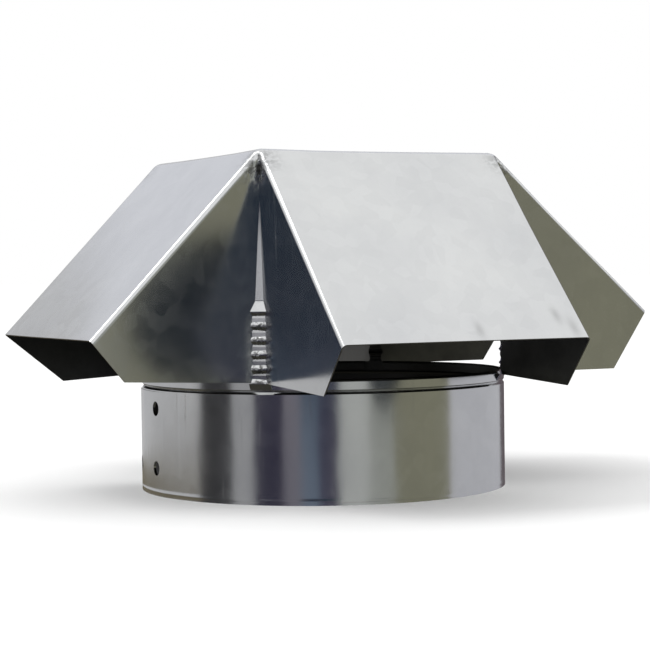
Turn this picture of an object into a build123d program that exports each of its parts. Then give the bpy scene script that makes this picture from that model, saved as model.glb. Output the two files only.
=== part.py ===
"""Round vent cap: a folded sheet hood held on a rolled, slip-over pipe collar."""
import os
from math import cos, pi, radians, sin, sqrt, tan

from build123d import *

# Sheet and pipe
sheet = 0.55
pipe_diameter = 152.4
slip_clearance = 0.5

# Collar
collar_height = 49.2
hem_height = 4.2
hem_gap = 0.9
hem_bends = 6
groove_depth = 0.7
groove_half_width = 0.9
groove_drop = 5.0

# Lap seam and fixing holes of the collar
lap_start_deg = 156.0
lap_flat_deg = 30.0
joggle_deg = 8.0
hole_diameter = 6.0
hole_column_deg = 181.0
hole_side_deg = 162.5
hole_high = 35.8
hole_low = 11.3

# Hood
top_side = 108.0
hood_height = 91.6
hood_overlap = 1.3
hip_length = 101.5
fold_deg = 46.0
front_fold_deg = 47.3
right_fold_deg = 41.0
left_skirt = 2.3
front_skirt = -2.5
trim_deg = 50.0
top_fold_radius = 3.0
hip_fold_radius = 2.2

# Corner facets, crimps and ears
facet_depth = 3.3
facet_height = 28.0
spike_height = 30.0
crease_depth = 0.35
crease_end = 12.0
crimp_count = 5
crimp_depth = 0.9
crimp_soften = 0.2
crimp_lead = 1.0
crimp_crest = 2.0
crimp_tail = 0.9
ear_width = 5.8
ear_root_width = 9.0
ear_root_height = 4.0
foot_clearance = 0.3
crimp_clearance = 0.05

# Sizes that follow from the ones above
bore_radius = pipe_diameter / 2 + slip_clearance
collar_radius = bore_radius + sheet
hem_radius = sheet + hem_gap / 2
groove_z = collar_height - groove_drop
wall_top = groove_z - groove_half_width
half_top = top_side / 2
corner_radius = half_top * sqrt(2)
hood_bottom = collar_height - hood_overlap
hood_top = hood_bottom + hood_height
facet_top = hood_bottom + facet_height
spike_top = facet_top + spike_height
inner_top = hood_top - sheet
overrun = 30.0

# Outside of the hem's roll as a row of small bends
hem_roll = []
for bend in range(hem_bends + 1):
    turn = pi * bend / hem_bends
    roll_radius = collar_radius - hem_radius + hem_radius * cos(turn)
    hem_roll.append((roll_radius, collar_height - hem_radius + hem_radius * sin(turn)))

# Directions from the axis to the lap's cut edge and along its joggle
lap_radius = collar_radius + sheet
lap_root = bore_radius + sheet / 2
lap_edge = Vector(1, 0).rotate(Axis.Z, lap_start_deg)
joggle_top = lap_edge.rotate(Axis.Z, lap_flat_deg)
joggle_middle = joggle_top.rotate(Axis.Z, joggle_deg / 2)
joggle_foot = joggle_top.rotate(Axis.Z, joggle_deg)

# Wing tips and trimmed corners of each fold angle
tip_run = hip_length * cos(radians(fold_deg))
tip_z = hood_top - hip_length * sin(radians(fold_deg))
trim_run = (tip_z - hood_bottom) / tan(radians(trim_deg))
left_bottom = hood_bottom + left_skirt
left_trim = (tip_z - left_bottom) / tan(radians(trim_deg))
front_run = hip_length * cos(radians(front_fold_deg))
front_z = hood_top - hip_length * sin(radians(front_fold_deg))
front_bottom = hood_bottom + front_skirt
front_trim = (front_z - front_bottom) / tan(radians(trim_deg))
right_run = hip_length * cos(radians(right_fold_deg))
right_z = hood_top - hip_length * sin(radians(right_fold_deg))
right_trim = (right_z - hood_bottom) / tan(radians(trim_deg + fold_deg - right_fold_deg))
skirt_start = half_top + 2 * facet_depth

# Inside corners of the folds, one sheet in from the outside
inner_half = half_top - sheet * tan(radians(fold_deg / 2))
inner_front = half_top - sheet * tan(radians(front_fold_deg / 2))
inner_right = half_top - sheet * tan(radians(right_fold_deg / 2))
long_hip = hip_length + overrun
inner_run = long_hip * cos(radians(fold_deg))
inner_drop = long_hip * sin(radians(fold_deg))
inner_front_run = long_hip * cos(radians(front_fold_deg))
inner_front_drop = long_hip * sin(radians(front_fold_deg))
inner_right_run = long_hip * cos(radians(right_fold_deg))
inner_right_drop = long_hip * sin(radians(right_fold_deg))

# Facet outline along a corner, as radius from the axis and height
facet_radius = corner_radius + facet_depth
edge_radius = facet_radius - crimp_soften
crimp_pitch = facet_height / crimp_count
crest_end = crimp_lead + crimp_crest
tail_end = crest_end + crimp_tail
crimps = []
for step in range(crimp_count):
    crimp_z = hood_bottom + step * crimp_pitch
    crimps.append((edge_radius, crimp_z))
    crimps.append((facet_radius, crimp_z + crimp_lead))
    crimps.append((facet_radius, crimp_z + crest_end))
    crimps.append((edge_radius, crimp_z + tail_end))
    crimps.append((facet_radius - crimp_depth, crimp_z + (tail_end + crimp_pitch) / 2))
crease_radius = corner_radius + crease_depth
crease_top = hood_top - 2 * top_fold_radius
spike = [
    (edge_radius, facet_top),
    (crease_radius, spike_top),
    (crease_radius, hood_top - crease_end),
    (corner_radius - hip_fold_radius / 2, crease_top),
]
core_radius = corner_radius - overrun / 5
outer_corner = [(core_radius, hood_bottom)] + crimps + spike
outer_corner.append((core_radius, crease_top))
inner_corner = [(core_radius - sheet, hood_bottom - overrun)]
inner_corner.append((edge_radius - sheet, hood_bottom - overrun))
for radius, height in crimps + spike[:-1]:
    inner_corner.append((radius - sheet, height))
inner_corner.append((core_radius - sheet, hood_top - crease_end))

# Ear outline, nested one clearance inside the crimped facet and ending under its last groove
ear_set = sheet + crimp_clearance
ear_line = [(collar_radius, collar_height - ear_root_height)]
ear_line.append((edge_radius - ear_set, hood_bottom - foot_clearance))
foot_points = len(ear_line)
for radius, height in crimps[:-1]:
    ear_line.append((radius - ear_set, height))
ear_outline = ear_line + [(radius - sheet, height) for radius, height in reversed(ear_line)]
foot_line = ear_line[:foot_points]
foot_outline = foot_line + [(radius - sheet, height) for radius, height in reversed(foot_line)]

# Planes through the axis: along the corner at +X +Y and across the holes
corner_plane = Plane(origin=(0, 0, 0), x_dir=(1, 1, 0), z_dir=(1, -1, 0))
column_plane = Plane.YZ.rotated((0, 0, hole_column_deg))
side_plane = Plane.YZ.rotated((0, 0, hole_side_deg))

# Outside of the wings along X
with BuildPart() as wings_x:
    with BuildSketch(Plane.XZ):
        with BuildLine():
            Polyline(
                (-half_top, hood_top),
                (half_top, hood_top),
                (half_top + right_run, right_z),
                (half_top + right_run - right_trim, hood_bottom),
                (-skirt_start, hood_bottom),
                (-half_top - tip_run + left_trim, left_bottom),
                (-half_top - tip_run, tip_z),
                close=True,
            )
        top_face = make_face()
        fillet(top_face.vertices().group_by(Axis.Y)[-1], radius=top_fold_radius)
    extrude(amount=half_top, both=True)
    side_edges = wings_x.edges().group_by(Axis.Y)
    hips_x = side_edges[0] + side_edges[-1]
    fillet(hips_x.filter_by_position(Axis.Z, tip_z, hood_top), radius=hip_fold_radius)

# Outside of the wings along Y
with BuildPart() as wings_y:
    with BuildSketch(Plane.YZ):
        with BuildLine():
            Polyline(
                (-half_top, hood_top),
                (half_top, hood_top),
                (half_top + tip_run, tip_z),
                (half_top + tip_run - trim_run, hood_bottom),
                (-skirt_start, hood_bottom),
                (-half_top - front_run + front_trim, front_bottom),
                (-half_top - front_run, front_z),
                close=True,
            )
        top_face = make_face()
        fillet(top_face.vertices().group_by(Axis.Y)[-1], radius=top_fold_radius)
    extrude(amount=half_top, both=True)
    side_edges = wings_y.edges().group_by(Axis.X)
    hips_y = side_edges[0] + side_edges[-1]
    fillet(hips_y.filter_by_position(Axis.Z, tip_z, hood_top), radius=hip_fold_radius)

# Inside of the wings along X, open at the mouths and below
with BuildPart() as hollow_x:
    with BuildSketch(Plane.XZ):
        with BuildLine():
            Polyline(
                (-inner_half, inner_top),
                (inner_right, inner_top),
                (inner_right + inner_right_run, inner_top - inner_right_drop),
                (inner_right + inner_right_run, hood_bottom - overrun),
                (-inner_half - inner_run, hood_bottom - overrun),
                (-inner_half - inner_run, inner_top - inner_drop),
                close=True,
            )
        top_face = make_face()
        fillet(top_face.vertices().group_by(Axis.Y)[-1], radius=top_fold_radius - sheet)
    extrude(amount=half_top - sheet, both=True)
    side_edges = hollow_x.edges().group_by(Axis.Y)
    hips_x = side_edges[0] + side_edges[-1]
    fillet(
        hips_x.filter_by_position(Axis.Z, hood_bottom, hood_top).filter_by(Axis.Z, reverse=True),
        radius=hip_fold_radius - sheet,
    )

# Inside of the wings along Y
with BuildPart() as hollow_y:
    with BuildSketch(Plane.YZ):
        with BuildLine():
            Polyline(
                (-inner_front, inner_top),
                (inner_half, inner_top),
                (inner_half + inner_run, inner_top - inner_drop),
                (inner_half + inner_run, hood_bottom - overrun),
                (-inner_front - inner_front_run, hood_bottom - overrun),
                (-inner_front - inner_front_run, inner_top - inner_front_drop),
                close=True,
            )
        top_face = make_face()
        fillet(top_face.vertices().group_by(Axis.Y)[-1], radius=top_fold_radius - sheet)
    extrude(amount=half_top - sheet, both=True)
    side_edges = hollow_y.edges().group_by(Axis.X)
    hips_y = side_edges[0] + side_edges[-1]
    fillet(
        hips_y.filter_by_position(Axis.Z, hood_bottom, hood_top).filter_by(Axis.Z, reverse=True),
        radius=hip_fold_radius - sheet,
    )

# Outside and inside of one crimped corner
with BuildPart() as corner_skin:
    with BuildSketch(corner_plane):
        with BuildLine():
            Polyline(*outer_corner, close=True)
        make_face()
    extrude(amount=2 * facet_depth, both=True)

with BuildPart() as corner_hollow:
    with BuildSketch(corner_plane):
        with BuildLine():
            Polyline(*inner_corner, close=True)
        make_face()
    extrude(amount=2 * facet_depth + sheet, both=True)

# Hood: one sheet folded into four wings with pleated, crimped corners
with BuildPart() as hood:
    add(wings_x.part)
    add(wings_y.part)
    with PolarLocations(0, 4):
        add(corner_skin.part)
    add(hollow_x.part, mode=Mode.SUBTRACT)
    add(hollow_y.part, mode=Mode.SUBTRACT)
    with PolarLocations(0, 4):
        add(corner_hollow.part, mode=Mode.SUBTRACT)

# One ear of the collar with its wider foot
with BuildPart() as ear:
    with BuildSketch(corner_plane):
        with BuildLine():
            Polyline(*ear_outline, close=True)
        make_face()
    extrude(amount=ear_width / 2, both=True)
    with BuildSketch(corner_plane):
        with BuildLine():
            Polyline(*foot_outline, close=True)
        make_face()
    extrude(amount=ear_root_width / 2, both=True)

# Collar: one strip rolled round, hemmed at the rim, lapped at the seam, with four ears
with BuildPart() as collar:
    with BuildSketch(Plane.XZ):
        with BuildLine():
            Polyline(
                (bore_radius, collar_height - hem_radius),
                (bore_radius, groove_z + groove_half_width),
                (bore_radius - groove_depth, groove_z),
                (bore_radius, wall_top),
                (bore_radius, 0),
                (collar_radius, 0),
                (collar_radius, wall_top),
                (collar_radius - groove_depth, groove_z),
                (collar_radius, groove_z + groove_half_width),
                hem_roll[0],
            )
            Polyline(*hem_roll)
            Polyline(
                hem_roll[-1],
                (collar_radius - 2 * hem_radius, collar_height - hem_height),
                (collar_radius - 2 * hem_radius + sheet, collar_height - hem_height),
                (collar_radius - 2 * hem_radius + sheet, collar_height - hem_radius),
            )
            Polyline(
                (collar_radius - 2 * hem_radius + sheet, collar_height - hem_radius),
                (collar_radius - hem_radius, collar_height - sheet),
                (bore_radius, collar_height - hem_radius),
            )
        make_face()
    revolve(axis=Axis.Z)
    # Lap of the strip's end over its start, with a joggle where it climbs
    with BuildSketch(Plane.XY):
        with BuildLine():
            CenterArc((0, 0), lap_radius, lap_start_deg, lap_flat_deg)
            ThreePointArc(
                lap_radius * joggle_top,
                (lap_radius + collar_radius) / 2 * joggle_middle,
                collar_radius * joggle_foot,
            )
            Line(collar_radius * joggle_foot, lap_root * joggle_foot)
            CenterArc((0, 0), lap_root, lap_start_deg, lap_flat_deg + joggle_deg)
            Line(lap_root * lap_edge, lap_radius * lap_edge)
        make_face()
    extrude(amount=wall_top - sheet)
    # Notches in the hem where the ears rise
    with PolarLocations(bore_radius - hem_height, 4, start_angle=45):
        with Locations((0, 0, collar_height)):
            Box(2 * hem_height, ear_root_width, 2 * hem_height + sheet, mode=Mode.SUBTRACT)
    # Ears with their feet
    with PolarLocations(0, 4):
        add(ear.part)
    # Fixing holes through the lap
    with BuildSketch(column_plane):
        with Locations((0, hole_high), (0, hole_low)):
            Circle(hole_diameter / 2)
    extrude(amount=collar_radius + overrun, mode=Mode.SUBTRACT)
    with BuildSketch(side_plane):
        with Locations((0, hole_low)):
            Circle(hole_diameter / 2)
    extrude(amount=collar_radius + overrun, mode=Mode.SUBTRACT)

# Labels and files
os.makedirs("parts", exist_ok=True)
hood.part.label = "hood"
collar.part.label = "collar"
export_step(hood.part, "parts/hood.step")
export_step(collar.part, "parts/collar.step")
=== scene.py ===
"""Looks of a round vent cap: a folded, crimped sheet hood standing on a rolled pipe collar."""
from math import cos, pi, radians, sin, sqrt, tan
from typing import NamedTuple

import bmesh
import bpy
from bpy.props import FloatProperty, FloatVectorProperty, IntProperty, PointerProperty
from mathutils import Matrix, Quaternion, Vector, noise


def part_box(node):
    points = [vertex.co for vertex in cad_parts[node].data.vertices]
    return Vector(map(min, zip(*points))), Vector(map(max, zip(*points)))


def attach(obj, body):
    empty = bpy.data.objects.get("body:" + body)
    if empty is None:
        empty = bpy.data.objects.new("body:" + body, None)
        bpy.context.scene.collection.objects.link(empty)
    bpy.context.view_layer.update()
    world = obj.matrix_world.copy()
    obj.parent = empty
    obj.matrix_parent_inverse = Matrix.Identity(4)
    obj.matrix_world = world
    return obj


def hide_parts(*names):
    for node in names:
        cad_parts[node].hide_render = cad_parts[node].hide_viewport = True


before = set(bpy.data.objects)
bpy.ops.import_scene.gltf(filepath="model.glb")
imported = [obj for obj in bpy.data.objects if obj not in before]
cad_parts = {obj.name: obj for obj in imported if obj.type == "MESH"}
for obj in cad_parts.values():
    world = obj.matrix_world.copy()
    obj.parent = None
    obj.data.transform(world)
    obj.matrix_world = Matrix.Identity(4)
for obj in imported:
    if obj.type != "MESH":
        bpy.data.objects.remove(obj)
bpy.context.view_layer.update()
hood_low, hood_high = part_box("hood")

bl_info = {
    "name": "Round vent cap",
    "version": (1, 0, 0),
    "blender": (4, 5, 0),
    "location": "View3D > Sidebar > Vent cap",
    "description": "Builds the folded hood, the collar's finish and a plain studio",
    "category": "Object",
}

UP = Vector((0, 0, 1))
LEVEL = Vector((1, 1, 0))
SENSOR_WIDTH = 36.0
BEND_STEPS = 24
OVAL_STEPS = 48

# Distances in metres within which two places count as one
TINY = 1e-6
WELD = 1e-5
VALLEY_WIDTH = 2e-4
CUT_SNAP = 3e-4


class HoodSizes(bpy.types.PropertyGroup):
    """Sizes of the folded hood."""

    sheet: FloatProperty(
        name="Sheet", description="Thickness of the sheet", default=0.00055, unit="LENGTH")
    top_side: FloatProperty(
        name="Top side", description="Side of the square top", default=0.108, unit="LENGTH")
    fold: FloatProperty(
        name="Fold", description="Slope of the wings", default=radians(46), subtype="ANGLE")
    front_fold: FloatProperty(
        name="Front fold", description="Slope of the front wing", default=radians(47.3), subtype="ANGLE")
    raised_fold: FloatProperty(
        name="Raised fold", description="Slope of the wing that was bent up",
        default=radians(41), subtype="ANGLE")
    left_skirt: FloatProperty(
        name="Left skirt", description="Rise of the left cheeks' outer corners",
        default=0.0023, unit="LENGTH")
    front_skirt: FloatProperty(
        name="Front skirt", description="Rise of the front cheeks' outer corners",
        default=-0.0025, unit="LENGTH")
    trim: FloatProperty(
        name="Trim", description="Slope of the cheeks' cut ends", default=radians(50), subtype="ANGLE")
    fold_radius: FloatProperty(
        name="Fold radius", description="Radius of the hip folds", default=0.0023, unit="LENGTH")
    fold_margin: FloatProperty(
        name="Fold margin", description="Flat strip kept beside the folds", default=0.0004, unit="LENGTH")
    fold_segments: IntProperty(name="Fold segments", description="Faces round each fold", default=6)
    crease_angle: FloatProperty(
        name="Crease angle", description="Smallest angle that is shaded as a sharp edge",
        default=radians(30), subtype="ANGLE")
    facet_depth: FloatProperty(
        name="Facet depth", description="How far a corner's facet stands out of the valley",
        default=0.0033, unit="LENGTH")
    facet_height: FloatProperty(
        name="Facet height", description="Height of the crimped facet", default=0.028, unit="LENGTH")
    # The facet's spread is the reach of the painted shade between the crimps and of the tool marks
    facet_spread: FloatProperty(
        name="Facet spread", description="Reach of the dirt and tool marks from a facet's middle",
        default=0.0030, unit="LENGTH")
    shoulder_height: FloatProperty(
        name="Shoulder height", description="Height of the narrowing above the facet",
        default=0.004, unit="LENGTH")
    spike_depth: FloatProperty(
        name="Spike depth", description="How far the spike's foot stands out of the valley",
        default=0.0017, unit="LENGTH")
    spike_height: FloatProperty(
        name="Spike height", description="Height of the spike above the shoulder",
        default=0.040, unit="LENGTH")
    crimp_count: IntProperty(name="Crimps", description="Crimps up each corner", default=5)
    crimp_steps: IntProperty(name="Crimp steps", description="Faces up each crimp", default=10)
    crimp_depth: FloatProperty(
        name="Crimp depth", description="Depth of the crimps", default=0.0010, unit="LENGTH")
    crimp_unevenness: FloatProperty(
        name="Crimp unevenness", description="Share by which the depth of the crimps varies",
        default=0.5, subtype="FACTOR")
    crimp_noise: FloatProperty(
        name="Crimp noise", description="Scale of the noise that varies the crimps", default=200.0)
    pucker_drop: FloatProperty(
        name="Pucker drop", description="How far the middle of the puckers lies below the top",
        default=0.0075, unit="LENGTH")
    pucker_radius: FloatProperty(
        name="Pucker radius", description="Reach of the puckers below the top's corners",
        default=0.0058, unit="LENGTH")
    bent_corner: FloatVectorProperty(
        name="Bent corner", description="Shift of the left wing's far lower corner, as found",
        default=(0.0125, 0, -0.0047), size=3, subtype="TRANSLATION")
    wave: FloatProperty(
        name="Wave", description="Depth of the waviness of the panels", default=0.0006, unit="LENGTH")
    wave_length: FloatProperty(
        name="Wave length", description="Distance between waves", default=0.070, unit="LENGTH")
    still_reach: FloatProperty(
        name="Still reach", description="Distance from a pleat within which the waves die out",
        default=0.025, unit="LENGTH")
    mesh_pitch: FloatProperty(
        name="Mesh pitch", description="Distance between the cuts that divide the sheet",
        default=0.0035, unit="LENGTH")


class Finish(bpy.types.PropertyGroup):
    """Colours, polish and relief of the zinc coat."""

    bright_zinc: FloatVectorProperty(
        name="Bright zinc", description="Clean zinc coat", default=(0.70, 0.71, 0.71),
        size=3, min=0, max=1, subtype="COLOR")
    dull_zinc: FloatVectorProperty(
        name="Dull zinc", description="Handled and clouded zinc", default=(0.63, 0.64, 0.65),
        size=3, min=0, max=1, subtype="COLOR")
    # Painted shade: this dark zinc stands in for the shade inside the hood and the collar, in the
    # puckers, between the crimps and beside the dents; on the hood's inside it is partly dust
    shaded_zinc: FloatVectorProperty(
        name="Inside zinc", description="Dusty zinc on the inside", default=(0.13, 0.13, 0.125),
        size=3, min=0, max=1, subtype="COLOR")
    cut_steel: FloatVectorProperty(
        name="Cut edge", description="Bare cut edge of the sheet", default=(0.62, 0.61, 0.59),
        size=3, min=0, max=1, subtype="COLOR")
    hood_roughness: FloatProperty(
        name="Hood roughness", description="Roughness of the hood's clean zinc",
        default=0.11, subtype="FACTOR")
    collar_roughness: FloatProperty(
        name="Collar roughness", description="Roughness of the collar's clean zinc",
        default=0.13, subtype="FACTOR")
    inside_roughness: FloatProperty(
        name="Inside roughness", description="Roughness of the hood's cleanest dust",
        default=0.42, subtype="FACTOR")
    edge_roughness: FloatProperty(
        name="Edge roughness", description="Roughness of the smoothest cut edge",
        default=0.3, subtype="FACTOR")
    swell_height: FloatProperty(
        name="Swell height", description="Height of the soft swells of thin sheet",
        default=0.0005, unit="LENGTH")
    wobble_height: FloatProperty(
        name="Wobble height", description="Height of the collar's upright wobbles",
        default=0.0003, unit="LENGTH")
    grain_height: FloatProperty(
        name="Grain height", description="Height of the coat's fine grain", default=5e-7, unit="LENGTH")
    crystal_height: FloatProperty(
        name="Crystal height", description="Height of the zinc crystals", default=1e-6, unit="LENGTH")
    dust_height: FloatProperty(
        name="Dust height", description="Height of the dust's grains", default=1e-5, unit="LENGTH")
    burr_height: FloatProperty(
        name="Burr height", description="Height of the burrs on cut edges", default=2e-5, unit="LENGTH")
    facet_marks: FloatProperty(
        name="Facet marks", description="Height of the tool marks on the crimped facets",
        default=0.0004, unit="LENGTH")
    pucker_marks: FloatProperty(
        name="Pucker marks", description="Height of the creases in the puckers",
        default=0.0008, unit="LENGTH")
    bead_height: FloatProperty(
        name="Bead height", description="Height of the bead along the collar's lower edge",
        default=0.0001, unit="LENGTH")
    bead_place: FloatProperty(
        name="Bead place", description="Height of the bead above the collar's lower edge",
        default=0.0017, unit="LENGTH")
    bead_width: FloatProperty(
        name="Bead width", description="Half the width of the bead", default=0.0007, unit="LENGTH")


class StudioSettings(bpy.types.PropertyGroup):
    """Camera, floor and light."""

    camera_place: FloatVectorProperty(
        name="Camera", description="Place of the camera", default=(-0.3645, -0.7234, 0.0906),
        size=3, subtype="TRANSLATION")
    camera_yaw: FloatProperty(
        name="Camera yaw", description="Turn of the camera from +Y towards +X",
        default=radians(26.82), subtype="ANGLE")
    camera_dip: FloatProperty(
        name="Camera dip", description="Tilt of the camera below the horizon",
        default=radians(1.58), subtype="ANGLE")
    camera_lean: FloatProperty(
        name="Camera lean", description="Lean of the camera to its right",
        default=radians(0.74), subtype="ANGLE")
    focal_length: FloatProperty(
        name="Focal length", description="Focal length in millimetres on a 36 mm sensor", default=104.7)
    floor_colour: FloatVectorProperty(
        name="Floor", description="Colour of the floor", default=(0.95, 0.95, 0.95),
        size=3, min=0, max=1, subtype="COLOR")
    floor_lift: FloatProperty(
        name="Floor lift", description="Brightness that the camera sees added to the floor",
        default=0.07, subtype="FACTOR")
    floor_reach: FloatProperty(
        name="Floor reach", description="Half the side of the floor", default=20.0, unit="LENGTH")
    card_distance: FloatProperty(
        name="Card distance", description="Distance of the reflector cards", default=2.0, unit="LENGTH")
    lamp_power: FloatProperty(name="Lamp", description="Power of the soft lamp in watts", default=8.0)
    lamp_size: FloatProperty(
        name="Lamp size", description="Side of the soft lamp", default=0.9, unit="LENGTH")
    lamp_distance: FloatProperty(
        name="Lamp distance", description="Distance of the soft lamp", default=2.0, unit="LENGTH")
    lamp_turn: FloatProperty(
        name="Lamp turn", description="Turn of the soft lamp to the right of the camera's side",
        default=radians(-80), subtype="ANGLE")
    lamp_rise: FloatProperty(
        name="Lamp rise", description="Rise of the soft lamp above the horizon",
        default=radians(57), subtype="ANGLE")


class Value:
    """One output socket, with arithmetic that adds Math nodes to its tree."""

    def __init__(self, tree, socket):
        self.tree = tree
        self.socket = socket

    def maths(self, operation, first, second):
        return self.tree.node("ShaderNodeMath", {"operation": operation}, {0: first, 1: second})

    def __add__(self, other):
        return self.maths("ADD", self, other)

    def __sub__(self, other):
        return self.maths("SUBTRACT", self, other)

    def __mul__(self, other):
        return self.maths("MULTIPLY", self, other)

    def __truediv__(self, other):
        return self.maths("DIVIDE", self, other)

    def __gt__(self, other):
        return self.maths("GREATER_THAN", self, other)

    def __rsub__(self, other):
        return self.maths("SUBTRACT", other, self)

    __radd__ = __add__
    __rmul__ = __mul__


class Tree:
    """The node tree of one material or world, emptied and written to by expressions."""

    def __init__(self, owner):
        owner.use_nodes = True
        self.nodes = owner.node_tree.nodes
        self.links = owner.node_tree.links
        self.nodes.clear()

    def node(self, kind, settings=None, inputs=None, output=0):
        """Adds a node, sets it up, fills its sockets and returns one of its outputs."""
        made = self.nodes.new(kind)
        for name, setting in (settings or {}).items():
            if name == "stops":
                self.set_stops(made.color_ramp, setting)
            else:
                setattr(made, name, setting)
        for name, value in (inputs or {}).items():
            if isinstance(value, Value):
                self.links.new(value.socket, made.inputs[name])
            else:
                made.inputs[name].default_value = value
        return Value(self, made.outputs[output]) if len(made.outputs) else None

    def set_stops(self, ramp, stops):
        """Gives a colour ramp grey stops, each a place and a brightness."""
        while len(ramp.elements) < len(stops):
            ramp.elements.new(1.0)
        for element, (place, grey) in zip(ramp.elements, stops):
            element.position = place
            element.color = (grey, grey, grey, 1)

    def ramp(self, value, stops):
        """Grey that a value picks from a ramp."""
        return self.node("ShaderNodeValToRGB", {"stops": stops}, {"Fac": value})

    def mix(self, factor, first, second, blend="MIX"):
        """Mixes two colours."""
        settings = {"data_type": "RGBA", "blend_type": blend}
        return self.node("ShaderNodeMix", settings, {0: factor, 6: first, 7: second}, output=2)

    def vector_maths(self, operation, *vectors, output=0):
        """Arithmetic on vectors."""
        settings = {"operation": operation}
        return self.node("ShaderNodeVectorMath", settings, dict(enumerate(vectors)), output)

    def place(self):
        """Object coordinates."""
        return self.node("ShaderNodeTexCoord", output="Object")

    def height(self):
        """Height above the collar's lower edge."""
        return self.node("ShaderNodeSeparateXYZ", None, {"Vector": self.place()}, output="Z")

    def stretched(self, scale):
        """Object coordinates stretched along the axes."""
        return self.node("ShaderNodeMapping", None, {"Vector": self.place(), "Scale": scale})

    def noise(self, scale, detail=3.0, roughness=0.5, vector=None):
        """Noise from 0 to 1 over the object coordinates, or over another vector."""
        inputs = {"Scale": scale, "Detail": detail, "Roughness": roughness}
        inputs["Vector"] = vector or self.place()
        return self.node("ShaderNodeTexNoise", None, inputs)

    def end_in_metal(self, colour, roughness, height):
        """Ends the tree in bare metal with a relief of the given height in metres."""
        bump = self.node("ShaderNodeBump", None, {"Strength": 1.0, "Distance": 1.0, "Height": height})
        shader = self.node(
            "ShaderNodeBsdfPrincipled", None,
            {"Base Color": colour, "Roughness": roughness, "Metallic": 1.0, "Normal": bump})
        self.node("ShaderNodeOutputMaterial", None, {"Surface": shader})


def opaque(colour):
    """A colour with full alpha."""
    return (*colour, 1.0)


def darkened(colour, share):
    """A colour with a share of its brightness."""
    return tuple(share * part for part in colour)


def spangle(tree):
    """Flat zinc crystals, a few millimetres across, as values from 0 to 1."""
    warp = tree.noise(scale=90, detail=2)
    warped = tree.vector_maths("MULTIPLY_ADD", warp, (0.004,) * 3, tree.place())
    crystals = tree.node(
        "ShaderNodeTexVoronoi", None, {"Vector": warped, "Scale": 170.0}, output="Color")
    return tree.node("ShaderNodeSeparateColor", None, {"Color": crystals})


def zinc_sheet(name, finish, roughness, hood=None):
    """Bright zinc coat with clouds, spangle, scuffs and the soft swells of thin sheet.

    The hood's coat also has painted shade in the puckers, between the crimps and beside the dents, tool
    marks and dents; the collar's has painted shade on its inner wall and a bead.
    """
    material = bpy.data.materials.new(name)
    tree = Tree(material)
    clouds = tree.ramp(tree.noise(scale=16, detail=5, roughness=0.6), [(0.36, 0), (0.66, 1)])
    crystals = spangle(tree)
    lines = tree.noise(scale=420, roughness=0.6, vector=tree.stretched((1, 1, 0.05)))
    patches = tree.ramp(tree.noise(scale=30, detail=2), [(0.46, 0), (0.62, 1)])
    scuffs = tree.ramp(lines, [(0.60, 0), (0.74, 1)]) * patches
    zinc = tree.mix(clouds, opaque(finish.dull_zinc), opaque(finish.bright_zinc))
    tint = 0.98 + 0.04 * crystals
    zinc = tree.mix(1.0, zinc, tree.node(
        "ShaderNodeCombineColor", None, {"Red": tint, "Green": tint, "Blue": tint}), "MULTIPLY")
    zinc = tree.mix(0.25 * scuffs, zinc, opaque(finish.dull_zinc))
    rough = roughness + 0.05 * (1 - clouds) + 0.03 * crystals + 0.14 * scuffs
    swell = tree.noise(scale=13, detail=1.5, roughness=0.4)
    grain = tree.noise(scale=900, detail=2)
    height = finish.swell_height * swell + finish.grain_height * grain + finish.crystal_height * crystals
    if hood:
        # Painted shade: the dark inside zinc is mixed in over the puckers and crimps, and beside the
        # dents
        soot_and_shade = corner_shade(tree, hood)
        zinc = tree.mix(soot_and_shade, zinc, opaque(finish.shaded_zinc))
        zinc = tree.mix(0.30 * dent_shade_streaks(tree, hood), zinc, opaque(finish.shaded_zinc))
        rough = rough + 0.3 * soot_and_shade
        height = height + hammered(tree, hood, finish) - dent_depth(tree, hood)
    else:
        inward = inside_mask(tree)
        wobble = tree.noise(scale=36, detail=2, vector=tree.stretched((1, 1, 0.4)))
        # Painted shade: the inner wall takes the dark inside zinc, standing in for the shade inside the
        # pipe
        zinc = tree.mix(inward, zinc, opaque(finish.shaded_zinc))
        rough = rough + 0.25 * inward
        height = height + rolled_edge(tree, finish) + finish.wobble_height * wobble
    tree.end_in_metal(zinc, rough, height)
    return material


def distance_from(tree, place, point):
    """Distance from a place to a fixed point."""
    return tree.vector_maths("DISTANCE", place, point, output="Value")


def bell(tree, distance, radius):
    """1 in the middle, fading softly to 0 past the radius."""
    share = distance / radius
    return tree.node("ShaderNodeMath", {"operation": "EXPONENT"}, {0: 0 - share * share})


def folded_place(tree):
    """Object coordinates mirrored into one quarter, as the four corners are alike."""
    return tree.vector_maths("ABSOLUTE", tree.place())


def pucker_mask(tree, hood):
    """1 where the sheet puckers below the corners of the top."""
    pinch = Vector((hood.half, hood.half, hood.top - hood.sizes.pucker_drop))
    return bell(tree, distance_from(tree, folded_place(tree), pinch), hood.sizes.pucker_radius)


def facet_mask(tree, hood):
    """1 on the crimped facets, fading out at their tops."""
    flat = tree.vector_maths("MULTIPLY", folded_place(tree), LEVEL)
    middle = hood.facet_radius / sqrt(2) * LEVEL
    strip = bell(tree, distance_from(tree, flat, middle), hood.sizes.facet_spread)
    rise = (tree.height() - hood.bottom) / hood.sizes.facet_height
    return strip * tree.ramp(rise, [(0.9, 1), (1.0, 0)])


def corner_shade(tree, hood):
    """Painted shade: darker patches in the puckers and between the crimps, where shade falls."""
    specks = tree.ramp(tree.noise(scale=420, roughness=0.6), [(0.40, 0), (0.56, 1)])
    smears = tree.noise(scale=520, detail=2, roughness=0.6, vector=tree.stretched((1, 1, 1.6)))
    patches = tree.ramp(smears, [(0.47, 0), (0.55, 1)])
    return pucker_mask(tree, hood) * specks + 0.9 * facet_mask(tree, hood) * patches


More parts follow.
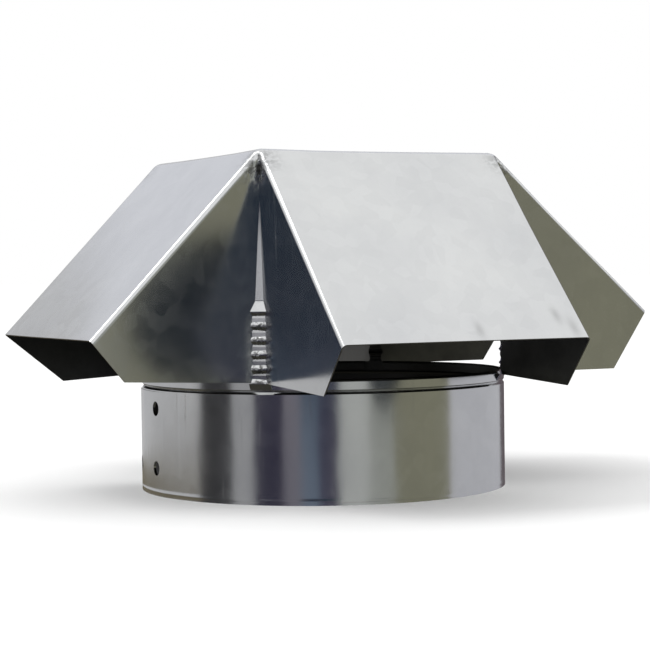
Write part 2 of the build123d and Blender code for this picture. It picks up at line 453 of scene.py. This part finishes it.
def hammered(tree, hood, finish):
    """Height of the tool marks over the crimped facets and the puckers."""
    marks = finish.facet_marks * facet_mask(tree, hood) + finish.pucker_marks * pucker_mask(tree, hood)
    return marks * tree.noise(scale=330, detail=2)


def dent_depth(tree, hood):
    """Depth of the small dents in the front panel."""
    return sum(
        depth * bell(tree, distance_from(tree, tree.place(), place), radius)
        for place, radius, depth in hood.dents())


def dent_shade_streaks(tree, hood):
    """Painted shade: dark streaks that run down beside the dents, standing in for the dents' shaded
    flanks, drawn out by shrunken coordinates.
    """
    drawn = Vector((1, 0.45, 0.45))
    along = tree.vector_maths("MULTIPLY", tree.place(), drawn)
    streaks = []
    for place, radius, _ in hood.dents():
        beside = (place + Vector((0.6 * radius, 0, -0.8 * radius))) * drawn
        streaks.append(bell(tree, distance_from(tree, along, beside), 0.6 * radius))
    return sum(streaks)


def inside_mask(tree):
    """1 where a face looks within 60 degrees of the axis, as the collar's inner wall does."""
    outward = tree.vector_maths("NORMALIZE", tree.vector_maths("MULTIPLY", tree.place(), LEVEL))
    facing = tree.node("ShaderNodeTexCoord", output="Normal")
    leaning = tree.vector_maths("DOT_PRODUCT", outward, facing, output="Value")
    return (0 - leaning) > cos(radians(60))


def rolled_edge(tree, finish):
    """Height of the slight bead along the collar's lower edge."""
    return finish.bead_height * bell(tree, tree.height() - finish.bead_place, finish.bead_width)


def dusty_shaded_sheet(name, finish):
    """The inside of the hood: zinc dulled by dust and darkened as painted shade of the unlit inside,
    darker in clouds.
    """
    material = bpy.data.materials.new(name)
    tree = Tree(material)
    soot_and_shade = tree.ramp(tree.noise(scale=26, detail=5, roughness=0.6), [(0.35, 0), (0.7, 1)])
    # Painted shade and dust: the dark inside zinc stands for the unlit inside, with darker clouds at
    # random
    dust = tree.mix(soot_and_shade, opaque(finish.shaded_zinc), opaque(darkened(finish.shaded_zinc, 0.55)))
    swell = tree.noise(scale=14, detail=2)
    grains = tree.noise(scale=700, detail=2)
    height = finish.swell_height * swell + finish.dust_height * grains
    tree.end_in_metal(dust, finish.inside_roughness + 0.2 * soot_and_shade, height)
    return material


def cut_edge(name, finish):
    """Bare steel of a sheared edge, with fine burrs."""
    material = bpy.data.materials.new(name)
    tree = Tree(material)
    burrs = tree.noise(scale=1500, detail=2, roughness=0.7)
    rust = tree.ramp(tree.noise(scale=60, detail=4), [(0.5, 0), (0.75, 1)])
    steel = tree.mix(rust, opaque(finish.cut_steel), opaque(darkened(finish.cut_steel, 0.6)))
    tree.end_in_metal(steel, finish.edge_roughness + 0.2 * burrs, finish.burr_height * burrs)
    return material


def only_verts(geometry):
    """The corners in what an operator made."""
    return [item for item in geometry if isinstance(item, bmesh.types.BMVert)]


def with_borders(faces):
    """Faces with their edges and corners, as the cutting operators want them."""
    edges = {edge for face in faces for edge in face.edges}
    verts = {vert for face in faces for vert in face.verts}
    return [*faces, *edges, *verts]


def cut_faces(bm, faces, point, normal, snap=TINY):
    """Cuts faces by a plane, which passes through corners that lie within the snap distance."""
    bmesh.ops.bisect_plane(
        bm, geom=with_borders(faces), dist=snap, plane_co=point, plane_no=normal)


def nearest(bm, point):
    """The corner of a mesh nearest to a point."""
    return min(bm.verts, key=lambda vert: (vert.co - point).length)


def off_line(point, line):
    """Level distance from a point to an upright line, which is given by its foot."""
    return (point - line - point.z * UP).length


# Dents in the front panel: place across it, share of the way down, radius and depth
DENTS = (
    (0.041, 0.87, 0.0030, 0.00014),
    (0.046, 0.93, 0.0035, 0.00011),
    (0.004, 0.93, 0.0030, 0.00009),
)


class Wing(NamedTuple):
    """One wing of the hood, with the two cheeks that hang from its hips.

    It has its direction, its level run and its slope, then the slope of the cheeks' cut ends and the
    rise of the cheeks' outer corners.
    """

    outward: Vector
    run: float
    fold: float
    trim: float
    skirt: float

    def drop(self):
        """How far the wing's lower edge lies below the top."""
        return self.run * tan(self.fold)


class Hood:
    """Places on the hood, and the steps that fold it from a square."""

    def __init__(self, sizes):
        self.sizes = sizes
        self.half = sizes.top_side / 2
        self.top = hood_high.z
        self.bottom = hood_low.z - sizes.front_skirt
        self.valley_radius = self.half * sqrt(2)
        self.facet_radius = self.valley_radius + sizes.facet_depth
        self.facet_top = self.bottom + sizes.facet_height
        shoulder_top = self.facet_top + sizes.shoulder_height
        self.pleat = [
            (sizes.facet_depth, self.bottom),
            (sizes.facet_depth, self.facet_top),
            (sizes.spike_depth, shoulder_top),
            (0.0, shoulder_top + sizes.spike_height),
        ]
        raised_trim = sizes.trim + sizes.fold - sizes.raised_fold
        right = Wing(Vector((1, 0, 0)), hood_high.x - self.half, sizes.raised_fold, raised_trim, 0.0)
        back = Wing(Vector((0, 1, 0)), hood_high.y - self.half, sizes.fold, sizes.trim, 0.0)
        self.left = Wing(
            Vector((-1, 0, 0)), -hood_low.x - self.half, sizes.fold, sizes.trim, sizes.left_skirt)
        self.front = Wing(
            Vector((0, -1, 0)), -hood_low.y - self.half, sizes.front_fold, sizes.trim, sizes.front_skirt)
        self.wings = (right, self.left, back, self.front)
        self.corners = [Vector((x, y, 0)) / sqrt(2) for x in (-1, 1) for y in (-1, 1)]

    def cheek_height(self, wing):
        """Height of a wing's lower edge above its cheeks' outer corners."""
        return self.top - wing.drop() - self.bottom - wing.skirt

    def trim_run(self, wing):
        """How far the cut ends of a wing's cheeks run back towards the collar."""
        return self.cheek_height(wing) / tan(wing.trim)

    def pull_wing(self, bm, top, wing):
        """Folds one panel down from the square top and two cheeks down from the panel."""
        ridge = max(
            top.edges, key=lambda edge: (edge.verts[0].co + edge.verts[1].co).dot(wing.outward))
        tips = only_verts(bmesh.ops.extrude_edge_only(bm, edges=[ridge])["geom"])
        bmesh.ops.translate(bm, verts=tips, vec=wing.run * wing.outward - wing.drop() * UP)
        hips = [edge for tip in tips for edge in tip.link_edges if edge.other_vert(tip) not in tips]
        to_valley_foot = (self.bottom - self.top) * UP
        to_outer_corner = -self.trim_run(wing) * wing.outward - self.cheek_height(wing) * UP
        for hip in hips:
            for vert in only_verts(bmesh.ops.extrude_edge_only(bm, edges=[hip])["geom"]):
                at_top = vert.co.z > self.top - TINY
                bmesh.ops.translate(bm, verts=[vert], vec=to_valley_foot if at_top else to_outer_corner)

    def round_folds(self, bm):
        """Rounds the ridges round the top and the hips of the wings."""
        folds = [edge for edge in bm.edges if len(edge.link_faces) == 2 and edge.is_convex]
        bmesh.ops.bevel(
            bm, geom=folds, offset=self.sizes.fold_radius, offset_type="OFFSET", affect="EDGES",
            segments=self.sizes.fold_segments, profile=0.5, material=-1, clamp_overlap=True)

    def bend_corner(self, bm):
        """Shifts the left wing's far lower corner to where it was found."""
        reach = self.half + self.left.run - self.trim_run(self.left)
        corner = nearest(bm, Vector((-reach, self.half, self.bottom + self.left.skirt)))
        bmesh.ops.translate(bm, verts=[corner], vec=self.sizes.bent_corner)

    def beside_valley(self, bm, valley, low, high):
        """Cheek faces with an edge on a valley line between two heights."""
        found = []
        for face in bm.faces:
            heights = [v.co.z for v in face.verts if off_line(v.co, valley) < VALLEY_WIDTH]
            if len(heights) > 1 and min(heights) < high - WELD and max(heights) > low + WELD:
                found.append(face)
        return found

    def pleat_corner(self, bm, outward):
        """Sets a flat facet and a tapering spike across one valley, then crimps the facet."""
        valley = self.valley_radius * outward
        for _, height in self.pleat[1:-1]:
            crossing = self.beside_valley(bm, valley, height, height)
            cut_faces(bm, crossing, valley + height * UP, UP)
        for (depth, height), (next_depth, next_height) in zip(self.pleat, self.pleat[1:]):
            point = valley + depth * outward + height * UP
            normal = (next_height - height) * outward + (depth - next_depth) * UP
            crossing = self.beside_valley(bm, valley, height, next_height)
            cut_faces(bm, crossing, point, normal.normalized())
        tip_height = self.pleat[-1][1]
        behind = self.beside_valley(bm, valley, self.bottom, tip_height - self.sizes.facet_depth)
        bmesh.ops.delete(bm, geom=behind, context="FACES")
        # The rails lie about half as far from the valley line
        reach = 3 * self.sizes.facet_depth
        rails = [
            edge for edge in bm.edges
            if edge.is_boundary and all(off_line(v.co, valley) < reach for v in edge.verts)
        ]
        tip = nearest(bm, valley + tip_height * UP)
        sides = [edge for edge in rails if tip in edge.verts]
        walls = [edge for edge in rails if tip not in edge.verts]
        bmesh.ops.bridge_loops(bm, edges=walls)
        bmesh.ops.contextual_create(bm, geom=[tip, *(edge.other_vert(tip) for edge in sides)])
        below = [edge for edge in walls if max(v.co.z for v in edge.verts) < self.facet_top + WELD]
        self.crimp_facet(bm, outward, below)

    def crimp_facet(self, bm, outward, rails):
        """Presses uneven rounded grooves across a facet, sliding its rails along the cheeks."""
        sizes = self.sizes
        pitch = sizes.facet_height / sizes.crimp_count
        cuts = sizes.crimp_steps * sizes.crimp_count - 1
        made = bmesh.ops.subdivide_edges(bm, edges=rails, cuts=cuts, use_grid_fill=True)
        for vert in only_verts(made["geom_inner"]):
            turns = (vert.co.z - self.bottom) / pitch
            uneven = 1 + sizes.crimp_unevenness * noise.noise(sizes.crimp_noise * vert.co)
            dip = sizes.crimp_depth * uneven * (0.5 - 0.5 * cos(2 * pi * turns))
            on_y_cheek = abs(abs(vert.co.y) - self.half) < WELD
            slide = Vector((outward.x, 0, 0)) if on_y_cheek else Vector((0, outward.y, 0))
            # A slide goes inward by half its factor, so twice the dip brings the rail in by the dip
            bmesh.ops.translate(bm, verts=[vert], vec=-2 * dip * slide)

    def frame_folds(self, bm):
        """Cuts beside the folds, so that their roundness stays out of the flat panels."""
        inset = self.sizes.fold_radius + self.sizes.fold_margin
        for wing in self.wings:
            ridge = self.half * wing.outward + self.top * UP
            cut_faces(bm, list(bm.faces), ridge - inset * wing.outward, wing.outward)
            facing = sin(wing.fold) * wing.outward + cos(wing.fold) * UP
            cut_faces(bm, list(bm.faces), ridge - inset * facing, facing)
            down = cos(wing.fold) * wing.outward - sin(wing.fold) * UP
            cut_faces(bm, list(bm.faces), ridge + inset * down, down)

    def divide(self, bm):
        """Cuts the sheet into small faces, so that it can take waves."""
        pitch = self.sizes.mesh_pitch
        for axis, normal in enumerate(Matrix.Identity(3)):
            steps = int((hood_high[axis] - hood_low[axis]) / pitch)
            for step in range(1, steps):
                point = normal * (hood_low[axis] + step * pitch)
                cut_faces(bm, list(bm.faces), point, normal, snap=CUT_SNAP)

    def dents(self):
        """Places, radii and depths of the dents in the front panel."""
        slope = self.front.run * (self.front.outward - tan(self.front.fold) * UP)
        return [
            (Vector((across, -self.half, self.top)) + share * slope, radius, depth)
            for across, share, radius, depth in DENTS
        ]

    def wave(self, bm):
        """Lets the flat panels sink in long soft waves, still at the pleated corners."""
        bm.normal_update()
        moves = {}
        for vert in bm.verts:
            near = min(off_line(vert.co, self.valley_radius * corner) for corner in self.corners)
            hold = min(1.0, near / self.sizes.still_reach)
            swell = 0.5 + 0.5 * noise.noise(vert.co / self.sizes.wave_length)
            moves[vert] = -hold * swell * self.sizes.wave * vert.normal
        for vert, move in moves.items():
            vert.co += move


def hood_mesh(hood):
    """The hood's outer skin as one folded sheet."""
    bm = bmesh.new()
    bmesh.ops.create_grid(
        bm, x_segments=1, y_segments=1, size=hood.half, matrix=Matrix.Translation(hood.top * UP))
    top = next(iter(bm.faces))
    for wing in hood.wings:
        hood.pull_wing(bm, top, wing)
    bmesh.ops.remove_doubles(bm, verts=bm.verts, dist=WELD)
    bmesh.ops.recalc_face_normals(bm, faces=bm.faces)
    hood.bend_corner(bm)
    hood.round_folds(bm)
    for outward in hood.corners:
        hood.pleat_corner(bm, outward)
    bmesh.ops.recalc_face_normals(bm, faces=bm.faces)
    hood.frame_folds(bm)
    hood.divide(bm)
    hood.wave(bm)
    for face in bm.faces:
        face.smooth = True
    for edge in bm.edges:
        edge.smooth = edge.calc_face_angle(pi) < hood.sizes.crease_angle
    mesh = bpy.data.meshes.new("hood_sheet")
    bm.to_mesh(mesh)
    bm.free()
    return mesh


class VENTCAP_OT_hood(bpy.types.Operator):
    """Build the folded hood and its finish"""

    bl_idname = "ventcap.hood"
    bl_label = "Hood"

    def execute(self, context):
        sizes = context.scene.ventcap_hood
        finish = context.scene.ventcap_finish
        shape = Hood(sizes)
        hood = bpy.data.objects.new("folded_hood", hood_mesh(shape))
        context.scene.collection.objects.link(hood)
        hood.data.materials.append(zinc_sheet("hood_zinc", finish, finish.hood_roughness, shape))
        hood.data.materials.append(dusty_shaded_sheet("hood_inside", finish))
        hood.data.materials.append(cut_edge("hood_cut_edge", finish))
        wall = hood.modifiers.new("sheet", "SOLIDIFY")
        wall.thickness = sizes.sheet
        wall.offset = -1
        # The inside takes the second material and the cut edges the third
        wall.material_offset = 1
        wall.material_offset_rim = 2
        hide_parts("hood")
        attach(hood, "root")
        return {"FINISHED"}


class VENTCAP_OT_collar(bpy.types.Operator):
    """Give the rolled collar its finish"""

    bl_idname = "ventcap.collar"
    bl_label = "Collar"

    def execute(self, context):
        finish = context.scene.ventcap_finish
        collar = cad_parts["collar"]
        collar.data.materials.clear()
        collar.data.materials.append(zinc_sheet("collar_zinc", finish, finish.collar_roughness))
        return {"FINISHED"}


def glow(name, colour):
    """A plain, evenly bright material for a studio card."""
    material = bpy.data.materials.new(name)
    tree = Tree(material)
    shader = tree.node("ShaderNodeEmission", None, {"Color": opaque(colour), "Strength": 1.0})
    tree.node("ShaderNodeOutputMaterial", None, {"Surface": shader})
    return material


def add_card(scene, name, bm, colour):
    """A studio card that only the metal's reflections see."""
    mesh = bpy.data.meshes.new(name)
    bm.to_mesh(mesh)
    bm.free()
    card = bpy.data.objects.new(name, mesh)
    scene.collection.objects.link(card)
    card.data.materials.append(glow(name, colour))
    card.visible_camera = False
    card.visible_diffuse = False
    card.visible_shadow = False


def bent_card(turns, heights, distance):
    """A card bent round the object."""
    start, end = turns
    bm = bmesh.new()
    low, high = (bm.verts.new((distance * cos(start), distance * sin(start), z)) for z in heights)
    edge = bm.edges.new((low, high))
    bmesh.ops.spin(
        bm, geom=[low, high, edge], axis=UP, cent=(0, 0, 0), angle=end - start, steps=BEND_STEPS)
    return bm


def oval_card(place, facing, half_width, half_height):
    """A flat oval card that faces a direction."""
    bm = bmesh.new()
    spread = Matrix.Diagonal((half_width, half_height, 1, 1))
    turn = facing.to_track_quat("Z", "Y").to_matrix().to_4x4()
    matrix = Matrix.Translation(place) @ turn @ spread
    bmesh.ops.create_circle(bm, cap_ends=True, segments=OVAL_STEPS, radius=1, matrix=matrix)
    return bm


# Heights of the cards in metres above the collar's lower edge
GROUND, GRASS, RIM, EYE, SKY = -0.8, -0.18, -0.07, 0.8, 2.0

# Bent cards: first and last turn in degrees to the right of the camera's side, heights and colour
CARDS = (
    ("card_left_light", -180, -81, GRASS, EYE, (0.57, 0.57, 0.58)),
    ("card_left_ground", -180, -81, GROUND, GRASS, (0.17, 0.15, 0.11)),
    ("card_left_dark", -81, -58, GROUND, EYE, (0.045, 0.045, 0.048)),
    ("card_left_grey", -58, -43, GROUND, EYE, (0.38, 0.38, 0.39)),
    ("card_navy", -43, -24, GROUND, EYE, (0.034, 0.032, 0.055)),
    ("card_mauve", -24, -13, GROUND, EYE, (0.19, 0.18, 0.21)),
    ("card_slate", -13, -3, GROUND, RIM, (0.15, 0.19, 0.25)),
    ("card_violet", -3, 10, GROUND, RIM, (0.065, 0.06, 0.095)),
    ("card_camera_side", -13, 10, RIM, EYE, (0.026, 0.038, 0.060)),
    ("card_front_light", 10, 27, GROUND, EYE, (0.50, 0.51, 0.49)),
    ("card_front_grey", 27, 43, GROUND, EYE, (0.36, 0.37, 0.34)),
    ("card_right_olive", 43, 83, GROUND, EYE, (0.235, 0.23, 0.17)),
    ("card_right_light", 83, 147, GROUND, EYE, (0.54, 0.54, 0.57)),
    ("card_right_dark", 147, 180, GROUND, EYE, (0.12, 0.10, 0.11)),
    ("card_back_sky", 140, 240, EYE, SKY, (0.79, 0.80, 0.85)),
)
GROUND_COLOUR = (0.05, 0.048, 0.04)

# Small cards: place, direction that they face, half width, half height and colour
SMALL_CARDS = (
    ("card_flag", (0.016, -0.238, 0.068), (-0.396, 0.918, 0), 0.048, 0.043, (0.004, 0.008, 0.016)),
    ("card_glint", (-0.32, -0.19, 0.095), (0.892, 0.451, 0), 0.030, 0.050, (0.62, 0.62, 0.64)),
)


def camera_turn(studio):
    """Turn of the camera's side from +X round the axis."""
    return -pi / 2 - studio.camera_yaw


class VENTCAP_OT_stage(bpy.types.Operator):
    """Set the camera, floor, soft lamp, cards and world"""

    bl_idname = "ventcap.stage"
    bl_label = "Studio"

    def execute(self, context):
        studio = context.scene.ventcap_studio
        self.add_camera(context.scene, studio)
        self.add_floor(context.scene, studio)
        self.add_lamp(context.scene, studio)
        self.set_world(context.scene)
        self.add_cards(context.scene, studio)
        context.scene.view_settings.view_transform = "Standard"
        return {"FINISHED"}

    def add_camera(self, scene, studio):
        """The photograph's view."""
        data = bpy.data.cameras.new("camera")
        data.lens = studio.focal_length
        data.sensor_width = SENSOR_WIDTH
        camera = bpy.data.objects.new("camera", data)
        scene.collection.objects.link(camera)
        yaw, dip = studio.camera_yaw, studio.camera_dip
        ahead = Vector((sin(yaw) * cos(dip), cos(yaw) * cos(dip), -sin(dip)))
        camera.location = studio.camera_place
        level = ahead.to_track_quat("-Z", "Y")
        camera.rotation_euler = (level @ Quaternion(UP, -studio.camera_lean)).to_euler()
        scene.camera = camera

    def add_floor(self, scene, studio):
        """A pale floor that looks white to the camera and adds no light to the object."""
        bm = bmesh.new()
        bmesh.ops.create_grid(bm, x_segments=1, y_segments=1, size=studio.floor_reach)
        mesh = bpy.data.meshes.new("floor")
        bm.to_mesh(mesh)
        bm.free()
        floor = bpy.data.objects.new("floor", mesh)
        scene.collection.objects.link(floor)
        material = bpy.data.materials.new("floor")
        tree = Tree(material)
        paper = tree.node("ShaderNodeBsdfDiffuse", None, {"Color": opaque(studio.floor_colour)})
        lift = studio.floor_lift * tree.node("ShaderNodeLightPath", output="Is Camera Ray")
        white = tree.node("ShaderNodeEmission", None, {"Strength": lift})
        shader = tree.node("ShaderNodeAddShader", None, {0: paper, 1: white})
        tree.node("ShaderNodeOutputMaterial", None, {"Surface": shader})
        mesh.materials.append(material)
        floor.visible_glossy = False

    def add_lamp(self, scene, studio):
        """A soft lamp that points at the collar's foot."""
        data = bpy.data.lights.new("soft_lamp", "AREA")
        data.energy = studio.lamp_power
        data.size = studio.lamp_size
        lamp = bpy.data.objects.new("soft_lamp", data)
        scene.collection.objects.link(lamp)
        turn = camera_turn(studio) + studio.lamp_turn
        rise = studio.lamp_rise
        towards = Vector((cos(turn) * cos(rise), sin(turn) * cos(rise), sin(rise)))
        lamp.location = studio.lamp_distance * towards
        lamp.rotation_euler = (-towards).to_track_quat("-Z", "Y").to_euler()

    def add_cards(self, scene, studio):
        """The bent cards, the ground and the small cards."""
        middle = camera_turn(studio)
        for name, start, end, low, high, colour in CARDS:
            turns = (middle + radians(start), middle + radians(end))
            add_card(scene, name, bent_card(turns, (low, high), studio.card_distance), colour)
        ground = oval_card(GROUND * UP, UP, studio.card_distance, studio.card_distance)
        add_card(scene, "card_ground", ground, GROUND_COLOUR)
        for name, place, facing, half_width, half_height, colour in SMALL_CARDS:
            card = oval_card(Vector(place), Vector(facing), half_width, half_height)
            add_card(scene, name, card, colour)

    def set_world(self, scene):
        """Even white light from all round, which is the backdrop too."""
        world = bpy.data.worlds.new("studio")
        tree = Tree(world)
        shader = tree.node("ShaderNodeBackground", None, {"Color": (1, 1, 1, 1), "Strength": 1.0})
        tree.node("ShaderNodeOutputWorld", None, {"Surface": shader})
        scene.world = world


class VENTCAP_PT_sidebar(bpy.types.Panel):
    """Steps and settings of the vent cap"""

    bl_idname = "VENTCAP_PT_sidebar"
    bl_label = "Vent cap"
    bl_space_type = "VIEW_3D"
    bl_region_type = "UI"
    bl_category = "Vent cap"

    def draw(self, context):
        for operator in (VENTCAP_OT_hood, VENTCAP_OT_collar, VENTCAP_OT_stage):
            self.layout.operator(operator.bl_idname)
        for group in ("ventcap_hood", "ventcap_finish", "ventcap_studio"):
            settings = getattr(context.scene, group)
            for name in settings.__annotations__:
                self.layout.prop(settings, name)


CLASSES = (
    HoodSizes,
    Finish,
    StudioSettings,
    VENTCAP_OT_hood,
    VENTCAP_OT_collar,
    VENTCAP_OT_stage,
    VENTCAP_PT_sidebar,
)


def register():
    for cls in CLASSES:
        bpy.utils.register_class(cls)
    bpy.types.Scene.ventcap_hood = PointerProperty(type=HoodSizes)
    bpy.types.Scene.ventcap_finish = PointerProperty(type=Finish)
    bpy.types.Scene.ventcap_studio = PointerProperty(type=StudioSettings)


def unregister():
    del bpy.types.Scene.ventcap_studio
    del bpy.types.Scene.ventcap_finish
    del bpy.types.Scene.ventcap_hood
    for cls in reversed(CLASSES):
        bpy.utils.unregister_class(cls)


def main():
    register()
    bpy.ops.ventcap.hood()
    bpy.ops.ventcap.collar()
    bpy.ops.ventcap.stage()


if __name__ == "__main__":
    main()
